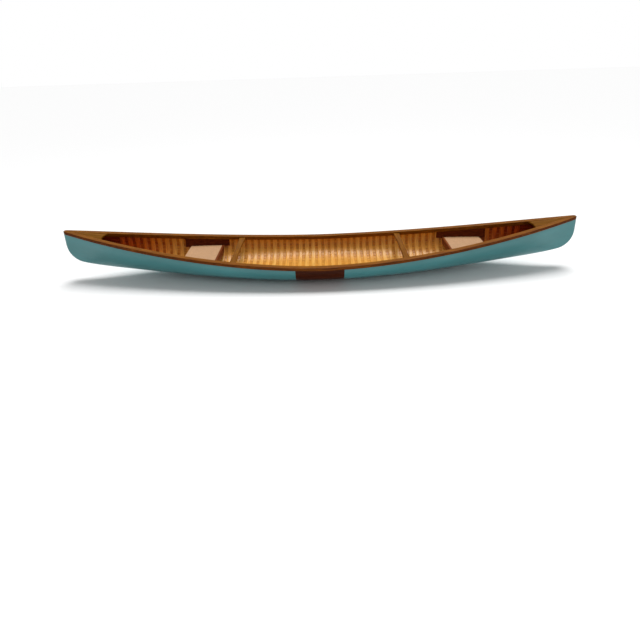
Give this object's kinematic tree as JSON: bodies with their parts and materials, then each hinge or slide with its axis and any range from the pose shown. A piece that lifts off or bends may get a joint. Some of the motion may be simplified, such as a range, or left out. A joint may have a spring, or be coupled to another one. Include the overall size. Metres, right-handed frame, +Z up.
{
  "type": "canoe",
  "caption": "Open display canoe with a painted hull, dark band amidships, ribs and strip planking inside, two thwarts, two woven seats and small end decks.",
  "frame": {"origin": "on the surface the boat stands on, under its middle, on the centre plane", "axes": "+X towards the stern along the boat's length, +Y to starboard, +Z up"},
  "size_m": [1.5362, 0.268, 0.1521],
  "materials": {
    "hull_paint": "turquoise gloss paint over filled wood",
    "band_wood": "varnished dark hardwood",
    "planking_wood": "varnished cedar strips",
    "rib_wood": "varnished light ribs",
    "stem_wood": "varnished hardwood",
    "gunwale_wood": "varnished hardwood",
    "deck_wood": "varnished hardwood",
    "dowel_wood": "plain dowel",
    "thwart_wood": "varnished hardwood",
    "seat_weave": "fine woven cane",
    "seat_wood": "dark stained hardwood"
  },
  "bodies": {
    "root": {"bow_seat_board_port": "seat_wood", "bow_seat_board_starboard": "seat_wood", "bow_seat_front_rail": "seat_wood", "bow_seat_outer_rail": "seat_wood", "bow_seat_side_rail_port": "seat_wood", "bow_seat_side_rail_starboard": "seat_wood", "bow_seat_weave": "seat_weave", "centre_band": "band_wood", "deck_bow": "deck_wood", "deck_stern": "deck_wood", "inwale_port": "gunwale_wood", "inwale_starboard": "gunwale_wood", "outwale_port": "gunwale_wood", "outwale_starboard": "gunwale_wood", "plank_port_01": "planking_wood", "plank_port_02": "planking_wood", "plank_port_03": "planking_wood", "plank_port_04": "planking_wood", "plank_port_05": "planking_wood", "plank_port_06": "planking_wood", "plank_port_07": "planking_wood", "plank_port_08": "planking_wood", "plank_port_09": "planking_wood", "plank_port_10": "planking_wood", "plank_port_11": "planking_wood", "plank_starboard_01": "planking_wood", "plank_starboard_02": "planking_wood", "plank_starboard_03": "planking_wood", "plank_starboard_04": "planking_wood", "plank_starboard_05": "planking_wood", "plank_starboard_06": "planking_wood", "plank_starboard_07": "planking_wood", "plank_starboard_08": "planking_wood", "plank_starboard_09": "planking_wood", "plank_starboard_10": "planking_wood", "plank_starboard_11": "planking_wood", "ribs_bow": "rib_wood", "ribs_middle": "rib_wood", "ribs_stern": "rib_wood", "skin_bow": "hull_paint", "skin_stern": "hull_paint", "stem_bow": "stem_wood", "stem_stern": "stem_wood", "stern_seat_board_port": "seat_wood", "stern_seat_board_starboard": "seat_wood", "stern_seat_front_rail": "seat_wood", "stern_seat_outer_rail": "seat_wood", "stern_seat_side_rail_port": "seat_wood", "stern_seat_side_rail_starboard": "seat_wood", "stern_seat_weave": "seat_weave", "thwart_bow": "thwart_wood", "thwart_dowels": "dowel_wood", "thwart_stern": "thwart_wood"}
  },
  "joints": []
}
